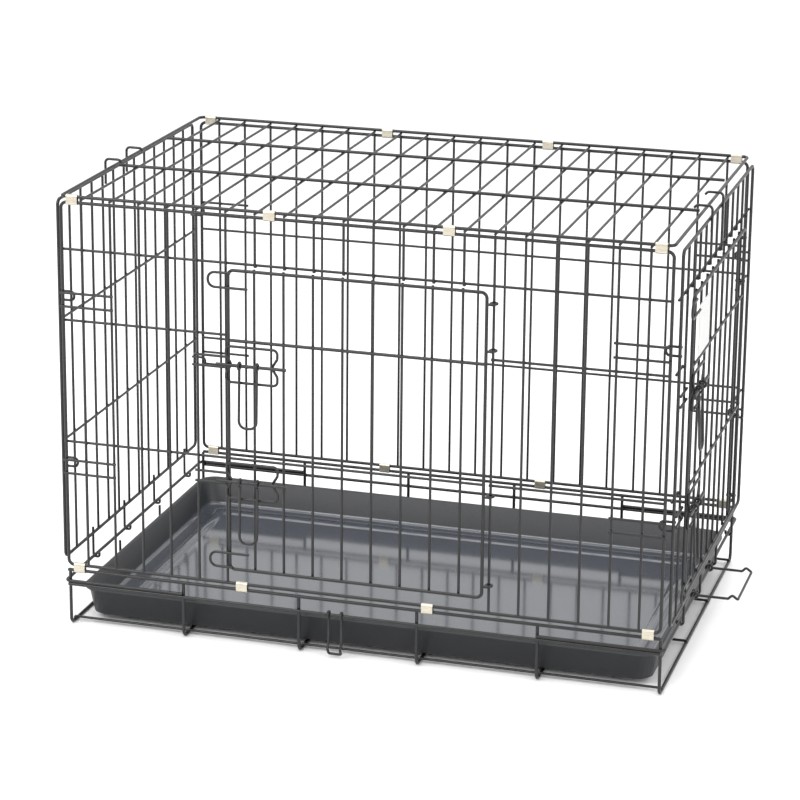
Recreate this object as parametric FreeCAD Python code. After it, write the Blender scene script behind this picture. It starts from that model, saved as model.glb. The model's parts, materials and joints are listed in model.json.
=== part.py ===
import FreeCAD, Part
import math, os

os.makedirs("parts", exist_ok=True)
V = FreeCAD.Vector

# ---- driving dimensions, mm ----
LENGTH = 762.0          # wire body, end panel to end panel
WIDTH = 480.0           # front panel to rear panel
HEIGHT = 548.0          # floor to the top panel
R_FRAME = 2.0           # rails, frames, rods
R_WIRE = 1.6            # infill wires
WELD = 0.3              # how far two welded wires sink into each other
RUN = 0.4               # running clearance of a wire turning on another
SIDE_WIRES = 20         # upright infill wires in the front and rear panels
END_WIRES = 12          # upright infill wires in an end panel
DOOR_FIRST, DOOR_LAST = 5, 14   # infill wires that bound the front door's opening
CLIP_WIDTH = 14.0
CLIP_SHEET = 0.8
TRAY_HEIGHT = 39.0
TRAY_WALL = 2.5

# ---- derived levels and planes ----
STACK = R_FRAME + R_WIRE - WELD            # frame wire to the infill wire welded on it
PAIR = 2 * R_FRAME + 3.2                   # two wires held in one clip
Y_SIDE = WIDTH / 2 - R_FRAME               # front and rear wire planes
X_END = LENGTH / 2 - R_FRAME               # end panel wire planes
X_RAIL = X_END - R_FRAME - R_WIRE - RUN    # end rails, which the end panels hook on
X_TUBE = X_RAIL - 4.6                      # outermost wires of the front, rear, top and base
Z_RAIL = 0.1338 * HEIGHT                   # upper rails of the base
Z_SIDE = Z_RAIL + PAIR                     # bottom wires of the front and rear panels
Z_LOW = Z_RAIL - 18.8                      # lower rails
Z_HOOK = Z_LOW + 2 * R_FRAME - WELD / 3    # end rails, on the lower rails
Z_TOP = HEIGHT - R_FRAME                   # top panel
Z_EAVE = Z_TOP - PAIR                      # top wires of the front and rear panels
Z_END_LOW = Z_SIDE + 5.0
LEVELS = (0.436 * HEIGHT, 0.716 * HEIGHT)  # the two long cross wires of each side
Z_HEADER = 0.877 * HEIGHT
END_GAP = 26.0                             # corner post to the first infill wire
PITCH = (2 * (X_TUBE - END_GAP)) / (SIDE_WIRES - 1)
Y_END = Y_SIDE - STACK - R_WIRE - R_FRAME - 3.3   # corner posts of the end panels
END_PITCH = 2 * Y_END / (END_WIRES + 1)
X_WIRES = [-X_TUBE + END_GAP + i * PITCH for i in range(SIDE_WIRES)]
Y_WIRES = [-Y_END + (i + 1) * END_PITCH for i in range(END_WIRES)]
X_CROSS = [-X_TUBE + i * 2 * X_TUBE / 5 for i in range(6)]
X_CORNER_CLIP = X_TUBE - END_GAP / 2 - 1.5   # between the frame's bend and the first infill wire
X_CLIPS = [-X_CORNER_CLIP, X_WIRES[6] + PITCH / 2, X_WIRES[12] + PITCH / 2, X_CORNER_CLIP]
LOCK_LEVELS = (0.380 * HEIGHT, 0.765 * HEIGHT)    # corner lock pairs
LOCK_HALF = 8.5
W_DOOR = R_FRAME + R_WIRE + 2.8            # door frame plane, outwards from its panel
W_GUIDE = W_DOOR + STACK                   # bolt guides, welded on the door frame
W_ROD = W_GUIDE + R_WIRE + R_FRAME + RUN   # bolt rods
EYE = R_FRAME + R_WIRE + RUN               # eye turning on a frame wire
OUT_HOOK = STACK - 0.4 + R_WIRE            # top and hinge hooks, outwards from the end panels
LATCH_REACH = Z_HOOK - 3                   # the open tray latch, outwards from its rail
SHIFT_X = -(X_RAIL + LATCH_REACH - X_END - OUT_HOOK) / 2  # latch and bolts stand out of two sides,
SHIFT_Y = (W_ROD + EYE - STACK) / 2        # so the middle of the whole box is off the wire body's


def wire(points, r, bend=6.0):
    """A round wire through the points, with rounded bends."""
    pts = [V(*p) for p in points]
    edges, at = [], pts[0]
    for before, corner, after in zip(pts, pts[1:], pts[2:]):
        a, b = (before - corner).normalize(), (after - corner).normalize()
        turn = math.pi - a.getAngle(b)
        room = 0.49 * min((before - corner).Length, (after - corner).Length)
        cut = min(bend * math.tan(turn / 2), room)
        radius = cut / math.tan(turn / 2)
        start, end = corner + a * cut, corner + b * cut
        middle = corner + (a + b).normalize() * (radius / math.cos(turn / 2) - radius)
        if (start - at).Length > 1e-6:
            edges.append(Part.makeLine(at, start))
        edges.append(Part.Arc(start, middle, end).toShape())
        at = end
    edges.append(Part.makeLine(at, pts[-1]))
    if len(edges) == 1:
        return Part.makeCylinder(r, (pts[-1] - pts[0]).Length, pts[0], pts[-1] - pts[0])
    path = Part.Wire(edges)
    ring = Part.Wire(Part.makeCircle(r, pts[0], (pts[1] - pts[0]).normalize()))
    swept = path.makePipeShell([ring], True, True)
    return swept


def loop(points, r, bend=6.0):
    """A closed round wire, starting half-way along its first side."""
    first, second = V(*points[0]), V(*points[1])
    mid = (first + second) * 0.5
    rest = [tuple(V(*p)) for p in points[1:]] + [points[0]]
    return wire([tuple(mid)] + rest + [tuple(mid)], r, bend)


def ring(centre, axis, radius, r):
    """A closed eye of round wire."""
    return Part.makeTorus(radius, r, V(*centre), V(*axis))


def save(name, solids):
    shape = solids if isinstance(solids, Part.Shape) else (
        solids[0] if len(solids) == 1 else Part.makeCompound(solids))
    shape = shape.copy()
    shape.translate(V(SHIFT_X, SHIFT_Y, 0))
    shape.exportStep("parts/%s.step" % name)


def clip(x, y, z_low, z_high):
    """A crimped sheet sleeve round two parallel wires, one over the other."""
    out = R_FRAME + 0.15 + CLIP_SHEET
    inner = R_FRAME + 0.15

    def slot(half, width, x0):
        body = Part.makeBox(width, 2 * half, z_high - z_low, V(x0, y - half, z_low))
        for z in (z_low, z_high):
            body = body.fuse(Part.makeCylinder(half, width, V(x0, y, z), V(1, 0, 0)))
        return body
    sleeve = slot(out, CLIP_WIDTH, x - CLIP_WIDTH / 2)
    return sleeve.cut(slot(inner, CLIP_WIDTH + 2, x - CLIP_WIDTH / 2 - 1)).removeSplitter()


# ---- base basket ----
Y_LEG = Y_SIDE - 2 * R_FRAME + WELD
save("base_cross_wires", [
    wire([(x, -Y_LEG, Z_RAIL), (x, -Y_LEG, R_FRAME), (x, Y_LEG, R_FRAME), (x, Y_LEG, Z_RAIL)], R_FRAME, 8)
    for x in X_CROSS])
Z_FLOOR = 2 * R_FRAME + R_WIRE - WELD
floor = []
for y in (-0.93 * Y_SIDE, 0.93 * Y_SIDE):
    floor.append(wire([(-X_TUBE - 1, y, Z_FLOOR), (X_TUBE + 1, y, Z_FLOOR)], R_WIRE))
Y_STOPS = (Y_WIRES[4] - END_PITCH / 2, Y_WIRES[8] - END_PITCH / 2)
for y in Y_STOPS:
    floor.append(wire([(-X_TUBE - 1, y, Z_HOOK - 7), (-X_TUBE - 1, y, Z_FLOOR),
                       (X_TUBE + 1, y, Z_FLOOR)], R_WIRE, 4))
save("base_floor_wires", floor)
for name, side in (("front", -1), ("rear", 1)):
    save("base_%s_rails" % name, [
        wire([(-X_TUBE - 1, side * Y_SIDE, z), (X_TUBE + 1, side * Y_SIDE, z)], R_FRAME)
        for z in (Z_RAIL, Z_LOW)])
for name, side in (("left", -1), ("right", 1)):
    x_in = side * X_CROSS[4]
    save("base_%s_end_rail" % name, wire(
        [(x_in, -Y_SIDE, Z_HOOK), (side * X_RAIL, -Y_SIDE, Z_HOOK),
         (side * X_RAIL, Y_SIDE, Z_HOOK), (x_in, Y_SIDE, Z_HOOK)], R_FRAME, 6))
X_LOW_CLIPS = [X_CLIPS[0], X_WIRES[5] + PITCH / 2, X_CROSS[3] + CLIP_WIDTH, X_CLIPS[3]]
save("bottom_front_clips", [clip(x, -Y_SIDE, Z_RAIL, Z_SIDE) for x in X_LOW_CLIPS])
save("bottom_rear_clips", [clip(x, Y_SIDE, Z_RAIL, Z_SIDE) for x in X_CLIPS])

# ---- tray ----
Z_TRAY = Z_FLOOR + R_WIRE + 0.2
TRAY_X, TRAY_Y = X_TUBE - R_FRAME - 4.0, Y_END - 7.0


def pan(x, y, z0, z1, draft):
    low = Part.makePolygon([V(-x + draft, -y + draft, z0), V(x - draft, -y + draft, z0),
                            V(x - draft, y - draft, z0), V(-x + draft, y - draft, z0), V(-x + draft, -y + draft, z0)])
    high = Part.makePolygon([V(-x, -y, z1), V(x, -y, z1), V(x, y, z1), V(-x, y, z1), V(-x, -y, z1)])
    return Part.makeLoft([low, high], True)


rim = 4.0
outer = pan(TRAY_X - rim, TRAY_Y - rim, Z_TRAY, Z_TRAY + TRAY_HEIGHT, 7.0)
lip = Part.makeBox(2 * TRAY_X, 2 * TRAY_Y, TRAY_WALL, V(-TRAY_X, -TRAY_Y, Z_TRAY + TRAY_HEIGHT - TRAY_WALL))
hollow = pan(TRAY_X - rim - TRAY_WALL, TRAY_Y - rim - TRAY_WALL, Z_TRAY + TRAY_WALL, Z_TRAY + TRAY_HEIGHT + 0.01, 7.0)
tray = outer.fuse(lip).cut(hollow)
step = 22.0
ridge = Part.makeBox(2 * (TRAY_X - 36), 2 * (TRAY_Y - 36), 1.2,
                     V(-TRAY_X + 36, -TRAY_Y + 36, Z_TRAY + TRAY_WALL - 0.2))
tray = tray.fuse(ridge).removeSplitter()
save("tray", tray)


# ---- front and rear panels ----
def side_frame(side):
    y = side * Y_SIDE
    return loop([(-X_TUBE, y, Z_SIDE), (X_TUBE, y, Z_SIDE), (X_TUBE, y, Z_EAVE), (-X_TUBE, y, Z_EAVE)],
                R_FRAME, 7)


def side_locks(side):
    """Pairs of short wires that reach past the corner posts, with their tips turned in."""
    y, out = side * (Y_SIDE + STACK), []
    for end in (-1, 1):
        for level in LOCK_LEVELS:
            for z in (level - LOCK_HALF, level + LOCK_HALF):
                tip = end * (X_TUBE + 2.4)
                out.append(wire([(end * (X_TUBE - END_GAP - PITCH - 3), y, z), (tip, y, z)], R_WIRE))
    return out


Y_UPRIGHT = Y_SIDE + WELD                  # welded between the frame wires, flush for the lock wires
opening = (X_WIRES[DOOR_FIRST], X_WIRES[DOOR_LAST])
for name, side in (("front", -1), ("rear", 1)):
    save("%s_frame" % name, side_frame(side))
    uprights, levels = [], []
    for i, x in enumerate(X_WIRES):
        low = Z_HEADER - 2 if side < 0 and DOOR_FIRST < i < DOOR_LAST else Z_SIDE
        uprights.append(wire([(x, side * Y_UPRIGHT, low), (x, side * Y_UPRIGHT, Z_EAVE)], R_WIRE))
    save("%s_upright_wires" % name, uprights)
    y = side * (Y_UPRIGHT - 2 * R_WIRE + WELD)
    for z in LEVELS:
        spans = [(-X_TUBE, X_TUBE)]
        if side < 0:
            spans = [(-X_TUBE, opening[0] + 3), (opening[1] - 3, X_TUBE)]
        levels += [wire([(a, y, z), (b, y, z)], R_WIRE) for a, b in spans]
    if side < 0:
        levels.append(wire([(-X_TUBE, y, Z_HEADER), (X_TUBE, y, Z_HEADER)], R_WIRE))
    save("%s_level_wires" % name, levels)
    save("%s_corner_locks" % name, side_locks(side))

# ---- top panel ----
save("top_frame", loop([(-X_TUBE, -Y_SIDE, Z_TOP), (X_TUBE, -Y_SIDE, Z_TOP),
                        (X_TUBE, Y_SIDE, Z_TOP), (-X_TUBE, Y_SIDE, Z_TOP)], R_FRAME, 7))
Z_CROSS = Z_TOP - STACK
save("top_cross_wires", [wire([(x, -Y_SIDE - 1, Z_CROSS), (x, Y_SIDE + 1, Z_CROSS)], R_WIRE) for x in X_WIRES])
Z_LONG = Z_CROSS + R_WIRE + R_FRAME - WELD
save("top_long_wires", [
    wire([(-X_TUBE + 5, y, Z_LONG), (X_TUBE - 5, y, Z_LONG)], R_FRAME)
    for y in (-0.27 * Y_SIDE, 0.42 * Y_SIDE)])
save("top_front_clips", [clip(x, -Y_SIDE, Z_EAVE, Z_TOP) for x in X_CLIPS])
save("top_rear_clips", [clip(x, Y_SIDE, Z_EAVE, Z_TOP) for x in X_CLIPS])


# ---- end panels ----
def end_place(side):
    """Panel coordinates to crate coordinates: u across, v up, w outwards from the wire plane."""
    return lambda u, v, w: (side * (X_END + w), u, v)


def front_place(u, v, w):
    return (u, -(Y_SIDE + w), v)


Z_END_TOP = Z_EAVE - 0.6
Y_LOOP = Y_END - R_FRAME - R_WIRE - 0.6       # pull loops, inboard of the corner posts
HOOK_ROWS = (2, 5, 8, 11)                     # end wires that curl round the end rail
LATCH_ROWS = [Y_WIRES[3] + END_PITCH / 2, Y_WIRES[5] + END_PITCH / 2]
END_DOOR = (Y_WIRES[0], Y_WIRES[10])          # wires that bound the end door's opening

for name, side in (("left", -1), ("right", 1)):
    at = end_place(side)
    save("%s_end_frame" % name, loop(
        [at(-Y_END, Z_END_LOW, 0), at(Y_END, Z_END_LOW, 0), at(Y_END, Z_END_TOP, 0), at(-Y_END, Z_END_TOP, 0)],
        R_FRAME, 7))
    uprights = []
    for i, y in enumerate(Y_WIRES):
        low = Z_END_LOW
        if side > 0 and END_DOOR[0] + 1 < y < END_DOOR[1] - 1:
            low = Z_HEADER - 2
        uprights.append(wire([at(y, low, 0), at(y, Z_END_TOP, 0)], R_WIRE))
    save("%s_end_upright_wires" % name, uprights)
    # the hinge hooks: short wires curled round the end rail
    curl, drop = R_FRAME + R_WIRE + RUN, []
    dx = X_RAIL - X_END
    for k in HOOK_ROWS:
        y = Y_WIRES[k] - END_PITCH / 2 if k < 11 else Y_WIRES[k] - 0.25 * END_PITCH
        drop.append(wire([at(y, Z_END_LOW + 8, dx + curl), at(y, Z_HOOK - curl, dx + curl),
                          at(y, Z_HOOK - curl, dx - curl), at(y, Z_HOOK + 1.5, dx - curl)], R_WIRE, curl - 0.1))
    save("%s_end_hinge_hooks" % name, drop)
    levels = []
    for z in LEVELS:
        spans = [(-Y_END, Y_END)] if side < 0 else [(-Y_END, END_DOOR[0] + 3), (END_DOOR[1] - 3, Y_END)]
        levels += [wire([at(a, z, -STACK), at(b, z, -STACK)], R_WIRE) for a, b in spans]
    if side > 0:
        levels.append(wire([at(-Y_END, Z_HEADER, -STACK), at(Y_END, Z_HEADER, -STACK)], R_WIRE))
    save("%s_end_level_wires" % name, levels)
    pulls = []
    for y in (-Y_LOOP, Y_LOOP):
        for z in LOCK_LEVELS:
            pulls.append(wire([at(y, z - LOCK_HALF + 3, 2), at(y, z - LOCK_HALF + 3, -17),
                               at(y, z + LOCK_HALF - 3, -17), at(y, z + LOCK_HALF - 3, 2)], R_WIRE, 5))
    save("%s_end_pull_loops" % name, pulls)
    arches = []
    for y in LATCH_ROWS:
        arches.append(wire([at(y, Z_END_TOP - 16, STACK - 0.4), at(y, HEIGHT + 6, STACK - 0.4),
                            at(y, HEIGHT + 6, -16), at(y, HEIGHT + 2.5, -19)], R_WIRE, 5))
    save("%s_end_top_hooks" % name, arches)


# ---- doors, each with two slide bolts ----
def door(name, at, u0, u1, hinge_u, levels, v0, v1, wires, bolt_rows):
    """A door outboard of its panel. u0 is the lock edge and hinge_u the panel wire it swings on."""
    w_door, s = W_DOOR, 1 if hinge_u > u0 else -1
    save(name + "_frame", loop([at(u0, v0, w_door), at(u1, v0, w_door), at(u1, v1, w_door), at(u0, v1, w_door)],
                               R_FRAME, 7))
    w_wire = w_door - STACK
    save(name + "_upright_wires", [wire([at(u, v0 - 2, w_wire), at(u, v1 + 2, w_wire)], R_WIRE) for u in wires])
    w_level = w_wire + 2 * R_WIRE - WELD
    save(name + "_level_wires", [wire([at(u0, v, w_level), at(u1, v, w_level)], R_WIRE) for v in levels])
    w_guide, w_rod, eye = W_GUIDE, W_ROD, EYE
    tips = []
    for v, turn in ((v1 - 3, -1), (v0 + 3, 1)):
        tips.append(wire([at(u0 + s * 4, v, w_guide), at(u0 - s * 24, v, w_guide),
                          at(u0 - s * 24, v + turn * 18, w_guide), at(u0 + s * 25, v + turn * 18, w_guide)],
                         R_WIRE, 8.5))
    save(name + "_tip_loops", tips)
    guides = []
    for row, v in zip(("lower", "upper"), bolt_rows):
        a, b = u0 - s * 2, u0 + s * 62
        top, low, mid = v + 22, v - 22, 7 * s
        guides.append(loop(
            [at(a, top, w_guide), at(b, top, w_guide), at(b, v + 11, w_guide), at(b - mid, v, w_guide),
             at(b, v - 11, w_guide), at(b, low, w_guide), at(a, low, w_guide), at(a, v - 11, w_guide),
             at(a + mid, v, w_guide), at(a, v + 11, w_guide)], R_WIRE, 6))
        save("%s_%s_bolt" % (name, row), wire([at(u0 - s * 13, v, w_rod), at(u0 + s * 74, v, w_rod)], R_FRAME))
        c0, c1 = u0 + s * 16, u0 + s * 38
        axis = V(*at(1, 0, 0)) - V(*at(0, 0, 0))
        legs = wire([at(c0, v - eye, w_rod), at(c0, v - 76, w_rod + 3), at(c1, v - 76, w_rod + 3),
                     at(c1, v - eye, w_rod)], R_WIRE, 9)
        handle = legs.fuse([ring(at(c0, v, w_rod), axis, eye, R_WIRE), ring(at(c1, v, w_rod), axis, eye, R_WIRE)])
        save("%s_%s_handle" % (name, row), handle.removeSplitter())
    save(name + "_bolt_guides", guides)


def eyes(name, at, u, w, u_door, rows):
    """Door hinges: a tail from the door's edge to a closed eye round the panel wire."""
    reach, out = R_WIRE + R_WIRE + RUN, []
    for v in rows:
        eye = ring(at(u, v, w), V(0, 0, 1), reach, R_WIRE)
        stem = wire([at(u, v, w + reach), at(u, v, W_DOOR)], 0.88 * R_WIRE)
        tail = wire([at(u, v, W_DOOR), at(u_door, v, W_DOOR)], R_WIRE)
        knee = Part.makeSphere(1.12 * R_WIRE, V(*at(u, v, W_DOOR)))
        out.append(eye.fuse([stem, knee, tail]))
    save(name, out)


F_LOW, F_HIGH = Z_SIDE + 21, Z_HEADER - 6
u_lock, u_hinge = opening[0] + 5, opening[1]
BOLTS = (0.393 * HEIGHT, 0.658 * HEIGHT)
door("front_door", front_place, u_lock, u_hinge - 7, u_hinge, (LEVELS[0] + 3, LEVELS[1] - 4),
     F_LOW, F_HIGH, X_WIRES[DOOR_FIRST + 1:DOOR_LAST], BOLTS)
eyes("front_door_hinge_eyes", front_place, u_hinge, WELD, u_hinge - 7,
     (F_LOW + 14, LEVELS[0] - 12, LEVELS[1] + 12, F_HIGH - 14))
at_right = end_place(1)
door("end_door", at_right, END_DOOR[0] + 5, END_DOOR[1] - 7, END_DOOR[1], (LEVELS[0] + 3, LEVELS[1] - 4),
     F_LOW + 3, F_HIGH, Y_WIRES[1:10], BOLTS)
eyes("end_door_hinge_eyes", at_right, END_DOOR[1], 0, END_DOOR[1] - 7,
     (F_LOW + 17, LEVELS[0] - 12, LEVELS[1] + 12, F_HIGH - 14))
# keepers: short wire pairs on the panel that guide the bolt's tip
for name, at, u in (("front", front_place, opening[0]), ("right_end", at_right, END_DOOR[0])):
    pairs, w = [], 2 * R_WIRE - WELD + (WELD if name == "front" else 0)
    for v in BOLTS:
        for dv in (-6.5, 6.5):
            pairs.append(wire([at(u - PITCH - 3 if name == "front" else -Y_END, v + dv, w),
                               at(u + 0.5, v + dv, w)], R_WIRE))
    save(name + "_keepers", pairs)

# ---- label plate, hanging lock loop and tray latch ----
w_plate = W_DOOR + R_FRAME - WELD
plate = Part.makeBox(1.2, 64, 62, V(X_END + w_plate, Y_WIRES[1] - 2, 0.722 * HEIGHT))
save("label_plate", plate.makeFillet(0.4, plate.Edges))
X_LOOP = -35.0


def hanger(at, u0, u1, v_rail, w_rail, v_low):
    """A bent wire keeper that hangs on a rail by two hooks."""
    shape = []
    for u in (u0, u1):
        shape.append(Part.makeTorus(EYE, R_WIRE, V(*at(u, v_rail, w_rail)), V(*at(1, 0, 0)) - V(*at(0, 0, 0))))
    legs = wire([at(u0, v_rail - EYE, w_rail), at(u0, v_low + 12, w_rail), at(u0, v_low + 7, w_rail + 5),
                 at(u0, v_low, w_rail), at(u1, v_low, w_rail), at(u1, v_low + 7, w_rail + 5),
                 at(u1, v_low + 12, w_rail), at(u1, v_rail - EYE, w_rail)], R_WIRE, 2.5)
    return legs.fuse(shape).removeSplitter()


save("front_lock_loop", hanger(front_place, X_LOOP, X_LOOP + 16, Z_LOW, 0, R_WIRE + 3))


def swung_out(u, v, w):
    """The right end's place function turned a quarter outwards about the end rail: the latch is open."""
    w_rail = X_RAIL - X_END
    return at_right(u, Z_HOOK + (w - w_rail), w_rail + (Z_HOOK - v))


save("tray_latch", hanger(swung_out, -50, 48, Z_HOOK, X_RAIL - X_END, R_WIRE + 3))
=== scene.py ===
import json
import math
import bpy
import bmesh
from mathutils import Vector, Matrix


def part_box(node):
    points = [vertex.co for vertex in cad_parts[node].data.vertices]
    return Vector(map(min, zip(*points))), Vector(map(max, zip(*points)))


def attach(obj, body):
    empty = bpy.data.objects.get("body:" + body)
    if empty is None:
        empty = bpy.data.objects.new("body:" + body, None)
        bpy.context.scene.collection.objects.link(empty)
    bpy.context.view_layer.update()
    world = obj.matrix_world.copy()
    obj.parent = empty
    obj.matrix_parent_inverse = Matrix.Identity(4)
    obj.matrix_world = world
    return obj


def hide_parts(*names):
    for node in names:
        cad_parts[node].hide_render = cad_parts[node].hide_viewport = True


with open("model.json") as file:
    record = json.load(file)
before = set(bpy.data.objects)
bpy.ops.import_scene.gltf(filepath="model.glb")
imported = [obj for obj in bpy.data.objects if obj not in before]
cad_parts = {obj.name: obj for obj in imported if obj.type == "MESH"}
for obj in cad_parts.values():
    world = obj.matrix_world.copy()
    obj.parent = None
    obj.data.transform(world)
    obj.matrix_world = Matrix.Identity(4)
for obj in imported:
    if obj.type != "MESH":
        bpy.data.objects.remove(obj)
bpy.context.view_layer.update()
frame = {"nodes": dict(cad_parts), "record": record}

# ---- Base basket ----
# Bent cross wires carry the floor wires and the rails that the panels hook
# on. Steel wire, spot welded, then coated in black polyester powder and
# baked. The crimped clips are plated sheet.
FINE_PEEL = 900.0                             # orange peel bumps per metre
RUB_PATCHES, RUB_STARTS, RUB_ENDS = 38.0, 0.48, 0.78
COAT_BLACK = (0.0035, 0.0035, 0.004, 1)
COAT_RUBBED = (0.035, 0.034, 0.035, 1)
COAT_GLOSS = (0.26, 0.42)
PEEL_STRENGTH, PEEL_DEPTH = 0.25, 0.0002
COLOUR_A, COLOUR_B, COLOUR_OUT = 6, 7, 2      # colour sockets of a Mix node

coat_group = bpy.data.node_groups.new("baked_powder_skin", "ShaderNodeTree")
for socket, default in (("Peel Scale", FINE_PEEL), ("Rub", 0.3)):
    made = coat_group.interface.new_socket(socket, in_out="INPUT", socket_type="NodeSocketFloat")
    made.default_value = default
for socket, kind in (("Color", "NodeSocketColor"), ("Roughness", "NodeSocketFloat"),
                     ("Height", "NodeSocketFloat")):
    coat_group.interface.new_socket(socket, in_out="OUTPUT", socket_type=kind)
skin_nodes, wire_up = coat_group.nodes, coat_group.links.new
given, result = skin_nodes.new("NodeGroupInput"), skin_nodes.new("NodeGroupOutput")
place = skin_nodes.new("ShaderNodeTexCoord")
peel = skin_nodes.new("ShaderNodeTexNoise")
peel.inputs["Detail"].default_value = 3.0
rub = skin_nodes.new("ShaderNodeTexNoise")
rub.inputs["Scale"].default_value = RUB_PATCHES
rub.inputs["Detail"].default_value = 5.0
rub_ramp = skin_nodes.new("ShaderNodeValToRGB")
rub_ramp.color_ramp.elements[0].position = RUB_STARTS
rub_ramp.color_ramp.elements[1].position = RUB_ENDS
shade = skin_nodes.new("ShaderNodeMix")
shade.data_type = "RGBA"
shade.inputs[COLOUR_A].default_value = COAT_BLACK
shade.inputs[COLOUR_B].default_value = COAT_RUBBED
amount = skin_nodes.new("ShaderNodeMath")
amount.operation = "MULTIPLY"
gloss = skin_nodes.new("ShaderNodeMapRange")
gloss.inputs["To Min"].default_value, gloss.inputs["To Max"].default_value = COAT_GLOSS
wire_up(place.outputs["Object"], peel.inputs["Vector"])
wire_up(place.outputs["Object"], rub.inputs["Vector"])
wire_up(given.outputs["Peel Scale"], peel.inputs["Scale"])
wire_up(rub.outputs["Fac"], rub_ramp.inputs["Fac"])
wire_up(rub_ramp.outputs["Color"], amount.inputs[0])
wire_up(given.outputs["Rub"], amount.inputs[1])
wire_up(amount.outputs[0], shade.inputs[0])
wire_up(rub.outputs["Fac"], gloss.inputs["Value"])
wire_up(shade.outputs[COLOUR_OUT], result.inputs["Color"])
wire_up(gloss.outputs["Result"], result.inputs["Roughness"])
wire_up(peel.outputs["Fac"], result.inputs["Height"])


def powder_coat(name, rubbed):
    """Black baked powder coat; rubbed is how worn it is."""
    mat = bpy.data.materials.new(name)
    mat.use_nodes = True
    nodes, join = mat.node_tree.nodes, mat.node_tree.links.new
    skin = nodes["Principled BSDF"]
    skin.inputs["Specular IOR Level"].default_value = 0.55
    group = nodes.new("ShaderNodeGroup")
    group.node_tree = coat_group
    group.inputs["Peel Scale"].default_value = FINE_PEEL
    group.inputs["Rub"].default_value = rubbed
    bump = nodes.new("ShaderNodeBump")
    bump.inputs["Strength"].default_value = PEEL_STRENGTH
    bump.inputs["Distance"].default_value = PEEL_DEPTH
    join(group.outputs["Color"], skin.inputs["Base Color"])
    join(group.outputs["Roughness"], skin.inputs["Roughness"])
    join(group.outputs["Height"], bump.inputs["Height"])
    join(bump.outputs["Normal"], skin.inputs["Normal"])
    return mat


def noisy_finish(name, dark, light, rough, scale, relief, stretch=(1, 1, 1), metallic=0.0, coat=0.0):
    """A finish whose colour, gloss and relief follow one stretched noise."""
    mat = bpy.data.materials.new(name)
    mat.use_nodes = True
    nodes, join = mat.node_tree.nodes, mat.node_tree.links.new
    skin = nodes["Principled BSDF"]
    skin.inputs["Metallic"].default_value = metallic
    skin.inputs["Coat Weight"].default_value = coat
    skin.inputs["Coat Roughness"].default_value = 0.08
    spot = nodes.new("ShaderNodeTexCoord")
    lay = nodes.new("ShaderNodeMapping")
    lay.inputs["Scale"].default_value = stretch
    grain = nodes.new("ShaderNodeTexNoise")
    grain.inputs["Scale"].default_value = scale
    grain.inputs["Detail"].default_value = 6.0
    tint = nodes.new("ShaderNodeMix")
    tint.data_type = "RGBA"
    tint.inputs[COLOUR_A].default_value = (*dark, 1)
    tint.inputs[COLOUR_B].default_value = (*light, 1)
    sheen = nodes.new("ShaderNodeMapRange")
    sheen.inputs["To Min"].default_value, sheen.inputs["To Max"].default_value = rough
    bump = nodes.new("ShaderNodeBump")
    bump.inputs["Strength"].default_value = 0.3
    bump.inputs["Distance"].default_value = relief
    join(spot.outputs["Object"], lay.inputs["Vector"])
    join(lay.outputs["Vector"], grain.inputs["Vector"])
    join(grain.outputs["Fac"], tint.inputs[0])
    join(grain.outputs["Fac"], sheen.inputs["Value"])
    join(grain.outputs["Fac"], bump.inputs["Height"])
    join(tint.outputs[COLOUR_OUT], skin.inputs["Base Color"])
    join(sheen.outputs["Result"], skin.inputs["Roughness"])
    join(bump.outputs["Normal"], skin.inputs["Normal"])
    return mat


def finish_nodes(material, *names):
    """Gives CAD nodes their finish."""
    for name in names:
        node = frame["nodes"][name]
        node.data.materials.clear()
        node.data.materials.append(material)


def nodes_of(body):
    return frame["record"]["behaviour"]["bodies"][body]


fixed_coat = powder_coat("powder_coat_fixed_wires", rubbed=0.25)
zinc = noisy_finish("zinc_plate", dark=(0.42, 0.38, 0.30), light=(0.74, 0.69, 0.58), rough=(0.22, 0.42),
                    scale=160, relief=0.0001, stretch=(1, 6, 6), metallic=1.0)
finish_nodes(fixed_coat, *[n for n in nodes_of("base") if not n.endswith("_clips")])
finish_nodes(zinc, *[n for n in nodes_of("base") if n.endswith("_clips")])

# ---- Wall and top panels ----
# Frame wires with welded infill. The top panel carries the plated clips that
# the front and rear panels turn in; the end panels hook on the base.
for body in ("front_panel", "rear_panel", "top_panel", "left_end", "right_end"):
    finish_nodes(fixed_coat, *[n for n in nodes_of(body) if not n.endswith("_clips")])
finish_nodes(zinc, "top_front_clips", "top_rear_clips")

# ---- Doors, bolts, handles and latches ----
# Bent wire doors with slide bolts. The parts that hands touch wear first, so
# their coat is rubbed paler. The label plate is moulded white plastic.
handled_coat = powder_coat("powder_coat_handled_wires", rubbed=0.75)
plate_face = noisy_finish("label_plate_plastic", dark=(0.55, 0.55, 0.54), light=(0.68, 0.68, 0.67),
                          rough=(0.35, 0.5), scale=90, relief=0.0001)
for body in ("front_door", "end_door"):
    finish_nodes(fixed_coat, *[n for n in nodes_of(body) if n != "label_plate"])
    for row in ("upper", "lower"):
        finish_nodes(handled_coat, "%s_%s_bolt" % (body, row), "%s_%s_handle" % (body, row))
finish_nodes(handled_coat, "front_lock_loop", "tray_latch")
finish_nodes(plate_face, "label_plate")

# ---- Weld nuggets ----
# Resistance welding squeezes a small bead out wherever two wires cross.
# Each bead is coated with the panel, so it takes the same finish.
BEAD_RADIUS, BEAD_FLATNESS = 0.0021, 0.62
TOUCHING = 0.0004                             # reach that counts as a crossing


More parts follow.
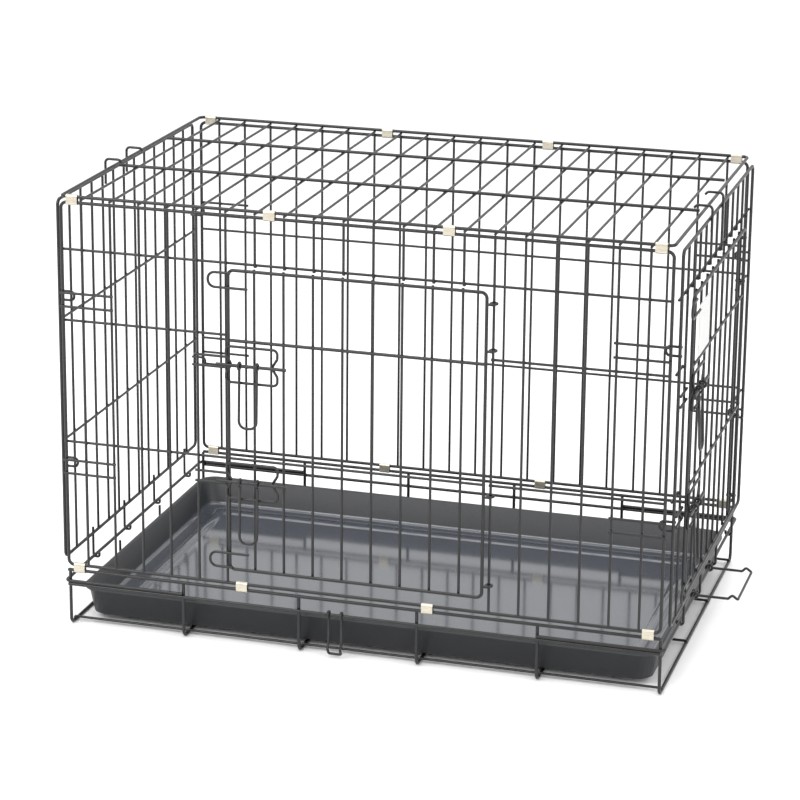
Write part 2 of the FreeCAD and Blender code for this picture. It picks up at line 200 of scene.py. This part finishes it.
def straight_rods(node):
    """Lowest and highest corner of each separate wire in a CAD node."""
    shape = bmesh.new()
    shape.from_mesh(frame["nodes"][node].data)
    waiting, boxes = set(shape.verts), []
    for seed in shape.verts:
        if seed not in waiting:
            continue
        waiting.remove(seed)
        front, part = [seed], []
        while front:
            vert = front.pop()
            part.append(vert.co.copy())
            for edge in vert.link_edges:
                other = edge.other_vert(vert)
                if other in waiting:
                    waiting.remove(other)
                    front.append(other)
        boxes.append((Vector([min(c[i] for c in part) for i in range(3)]),
                      Vector([max(c[i] for c in part) for i in range(3)])))
    shape.free()
    return boxes


def weld_beads(name, body, first, second):
    """One flattened bead at every crossing of two nodes' wires."""
    welds = bmesh.new()
    for low_a, high_a in straight_rods(first):
        for low_b, high_b in straight_rods(second):
            low = Vector([max(a, b) - TOUCHING for a, b in zip(low_a, low_b)])
            high = Vector([min(a, b) + TOUCHING for a, b in zip(high_a, high_b)])
            if all(h > l for l, h in zip(low, high)):
                bead = bmesh.ops.create_icosphere(welds, subdivisions=2, radius=BEAD_RADIUS)
                thin = min(range(3), key=lambda i: high[i] - low[i])
                for vert in bead["verts"]:
                    vert.co[thin] *= BEAD_FLATNESS
                    vert.co += (low + high) / 2
    mesh = bpy.data.meshes.new(name)
    welds.to_mesh(mesh)
    welds.free()
    mesh.shade_smooth()
    mesh.materials.append(fixed_coat)
    piece = bpy.data.objects.new(name, mesh)
    bpy.context.scene.collection.objects.link(piece)
    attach(piece, body)


weld_beads("base_welds", "base", "base_floor_wires", "base_cross_wires")
for wall in ("front", "rear"):
    panel = wall + "_panel"
    weld_beads(panel + "_welds", panel, wall + "_upright_wires", wall + "_level_wires")
    weld_beads(wall + "_lock_welds", panel, wall + "_upright_wires", wall + "_corner_locks")
weld_beads("top_panel_welds", "top_panel", "top_cross_wires", "top_long_wires")
for end in ("left_end", "right_end"):
    weld_beads(end + "_welds", end, end + "_upright_wires", end + "_level_wires")
for body in ("front_door", "end_door"):
    weld_beads(body + "_welds", body, body + "_upright_wires", body + "_level_wires")

# ---- Floor tray ----
# A moulded plastic pan: tapered walls, a rolled rim, a low raised bead round
# the floor, and corners rounded for the mould. It slides in on the base.
CORNER, CORNER_STEPS = 0.022, 6
CORNER_TIGHTENS, CORNER_LEAST = 0.35, 0.006
SHEET = 0.0025
# Inside these limits the up-facing floor gets a lighter, bluer copy of the tray plastic. This is painted sheen
# from the light above, on top of its lower roughness.
PAINTED_SHEEN_FLOOR_EDGE, PAINTED_SHEEN_FLOOR_DEPTH = 0.0115, 0.012       # the glossy floor lies inside these
low, high = (Vector(c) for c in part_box("tray"))
centre, half = (low + high) / 2, (high - low) / 2
foot, rim, floor = low.z, high.z, low.z + SHEET
outer_wall = [(0.012, foot), (0.0095, foot + 0.0015), (0.0042, rim - 0.006), (0.0005, rim - 0.0052)]
rolled_rim = [(0.0, rim - 0.0035), (0.0005, rim - 0.001), (0.002, rim), (0.0052, rim), (0.0068, rim - 0.0012)]
inner_wall = [(0.0122, floor + 0.004), (0.0145, floor + 0.001), (0.018, floor)]
floor_bead = [(0.034, floor), (0.0352, floor + 0.0011), (0.037, floor + 0.0014), (0.046, floor + 0.0014),
              (0.0472, floor + 0.0002), (0.050, floor)]


def rounded_loop(mesh, inset, z):
    """One ring of vertices round the pan, inset from its rim, at height z."""
    ring = []
    radius = max(CORNER - inset * CORNER_TIGHTENS, CORNER_LEAST)
    x, y = half.x - inset - radius, half.y - inset - radius
    for quarter, (sx, sy) in enumerate(((1, 1), (-1, 1), (-1, -1), (1, -1))):
        for k in range(CORNER_STEPS + 1):
            a = math.pi / 2 * (quarter + k / CORNER_STEPS)
            ring.append(mesh.verts.new((centre.x + sx * x + radius * math.cos(a),
                                        centre.y + sy * y + radius * math.sin(a), z)))
    return ring


tray_side = noisy_finish("tray_side_plastic", dark=(0.018, 0.019, 0.022), light=(0.034, 0.036, 0.041),
                         rough=(0.34, 0.52), scale=420, relief=0.0002)
# The floor copy is lighter and bluer than the sides. This is painted sheen, the light that the up-facing floor
# catches, not a second plastic colour.
tray_floor_painted_sheen = noisy_finish("tray_floor_plastic_painted_sheen", dark=(0.050, 0.056, 0.068), light=(0.070, 0.077, 0.092),
                          rough=(0.07, 0.16), scale=14, relief=0.00015, coat=0.6)
pan = bmesh.new()
rings = [rounded_loop(pan, inset, z) for inset, z in outer_wall + rolled_rim + inner_wall + floor_bead]
for a, b in zip(rings, rings[1:]):
    for i in range(len(a)):
        j = (i + 1) % len(a)
        pan.faces.new((a[i], a[j], b[j], b[i]))
pan.faces.new(rings[-1])
pan.faces.new(list(reversed(rings[0])))
bmesh.ops.recalc_face_normals(pan, faces=pan.faces)
for face in pan.faces:
    face.smooth = len(face.verts) == 4
    # Up-facing inside floor faces take the lighter copy, which is painted sheen.
    inner = all(v.co.z < low.z + PAINTED_SHEEN_FLOOR_DEPTH and abs(v.co.x - centre.x) < half.x - PAINTED_SHEEN_FLOOR_EDGE
                for v in face.verts)
    face.material_index = 1 if inner and face.normal.z > 0.2 else 0
tray_mesh = bpy.data.meshes.new("floor_tray")
pan.to_mesh(tray_mesh)
pan.free()
tray_mesh.materials.append(tray_side)
tray_mesh.materials.append(tray_floor_painted_sheen)
tray = bpy.data.objects.new("floor_tray", tray_mesh)
bpy.context.scene.collection.objects.link(tray)
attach(tray, "tray")
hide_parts("tray")

# ---- Studio ----
# A plain pale paper floor, a white surround and three soft lights: the key
# at front left, the fill at right and a wide one overhead.
bpy.ops.mesh.primitive_plane_add(size=30, location=(0, 0, 0))
ground = bpy.context.object
ground.name = "studio_floor"
ground.data.materials.append(noisy_finish("studio_paper", dark=(0.93, 0.93, 0.93), light=(0.96, 0.96, 0.96),
                                          rough=(0.55, 0.7), scale=3, relief=0.0001))
world = bpy.data.worlds.new("studio")
bpy.context.scene.world = world
world.use_nodes = True
world.node_tree.nodes["Background"].inputs["Color"].default_value = (1, 1, 1, 1)
world.node_tree.nodes["Background"].inputs["Strength"].default_value = 1.0


def soft_light(name, spot, target, size, power):
    lamp = bpy.data.lights.new(name, "AREA")
    lamp.energy, lamp.size = power, size
    holder = bpy.data.objects.new(name, lamp)
    holder.location = spot
    holder.rotation_euler = (Vector(target) - Vector(spot)).to_track_quat("-Z", "Y").to_euler()
    bpy.context.scene.collection.objects.link(holder)


soft_light("key_light", spot=(-1.6, -2.2, 2.6), target=(0, 0, 0.2), size=2.0, power=60)
soft_light("fill_light", spot=(2.4, -1.6, 1.6), target=(0, 0, 0.3), size=2.2, power=30)
soft_light("top_light", spot=(0, 0.6, 3.0), target=(0, 0, 0), size=2.6, power=40)

# ---- Camera ----
# A long lens, right of the front and a little above, turned a touch in its
# mount.
azimuth, elevation, roll = (math.radians(a) for a in (15.628, 15.659, 0.776))
camera = bpy.data.objects.new("camera", bpy.data.cameras.new("camera"))
camera.location = (0.9272, -3.2871, 1.3466)
forward = Vector((-math.sin(azimuth) * math.cos(elevation), math.cos(azimuth) * math.cos(elevation),
                  -math.sin(elevation)))
level = Vector((math.cos(azimuth), math.sin(azimuth), 0))
upward = level.cross(forward)
right = level * math.cos(roll) + upward * math.sin(roll)
top = upward * math.cos(roll) - level * math.sin(roll)
camera.matrix_world = Matrix.Translation(camera.location) @ Matrix((right, top, -forward)).transposed().to_4x4()
camera.data.sensor_width = 36
camera.data.lens = 128.7
camera.data.shift_x, camera.data.shift_y = -0.047, -0.123
camera.data.clip_end = 50
bpy.context.scene.collection.objects.link(camera)
bpy.context.scene.camera = camera
bpy.context.scene.view_settings.view_transform = "Standard"
